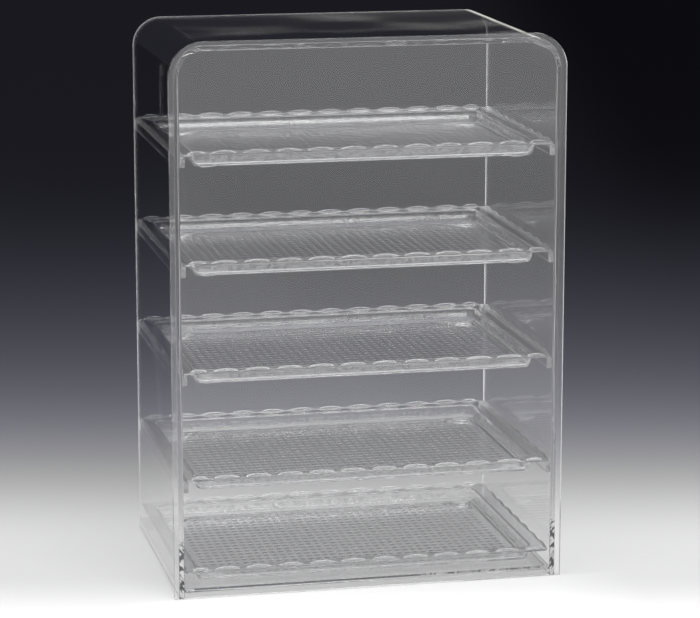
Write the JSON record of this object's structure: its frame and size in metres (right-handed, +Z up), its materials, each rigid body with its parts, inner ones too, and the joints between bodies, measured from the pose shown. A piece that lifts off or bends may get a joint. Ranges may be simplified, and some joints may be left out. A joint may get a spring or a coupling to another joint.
{
  "type": "countertop display case",
  "caption": "Clear countertop pastry display case: a bent-sheet cabinet with a flat front panel and scalloped trays that slide out of its open back on side runners.",
  "frame": {"origin": "centre of the footprint, on the surface that the case stands on", "axes": "+Z up, the front panel faces -Y, and the trays slide out of the open back along +Y"},
  "size_m": [0.452, 0.305, 0.631],
  "materials": {
    "clear_sheet": "clear, polished",
    "clear_tray": "clear, moulded gloss"
  },
  "bodies": {
    "cabinet": {"shell": "clear_sheet", "front_panel": "clear_sheet", "floor_panel": "clear_sheet", "runner_left_1": "clear_sheet", "runner_right_1": "clear_sheet", "runner_left_2": "clear_sheet", "runner_right_2": "clear_sheet", "runner_left_3": "clear_sheet", "runner_right_3": "clear_sheet", "runner_left_4": "clear_sheet", "runner_right_4": "clear_sheet"},
    "top_tray": {"tray_1": "clear_tray"},
    "second_tray": {"tray_2": "clear_tray"},
    "third_tray": {"tray_3": "clear_tray"},
    "fourth_tray": {"tray_4": "clear_tray"},
    "bottom_tray": {"tray_5": "clear_tray"}
  },
  "joints": [
    {"name": "top_tray_slide", "type": "slide", "parent": "cabinet", "child": "top_tray", "axis": [0, 1, 0], "range_m": [0, 0.3]},
    {"name": "second_tray_slide", "type": "slide", "parent": "cabinet", "child": "second_tray", "axis": [0, 1, 0], "range_m": [0, 0.3]},
    {"name": "third_tray_slide", "type": "slide", "parent": "cabinet", "child": "third_tray", "axis": [0, 1, 0], "range_m": [0, 0.3]},
    {"name": "fourth_tray_slide", "type": "slide", "parent": "cabinet", "child": "fourth_tray", "axis": [0, 1, 0], "range_m": [0, 0.3]},
    {"name": "bottom_tray_slide", "type": "slide", "parent": "cabinet", "child": "bottom_tray", "axis": [0, 1, 0], "range_m": [0, 0.3]}
  ]
}
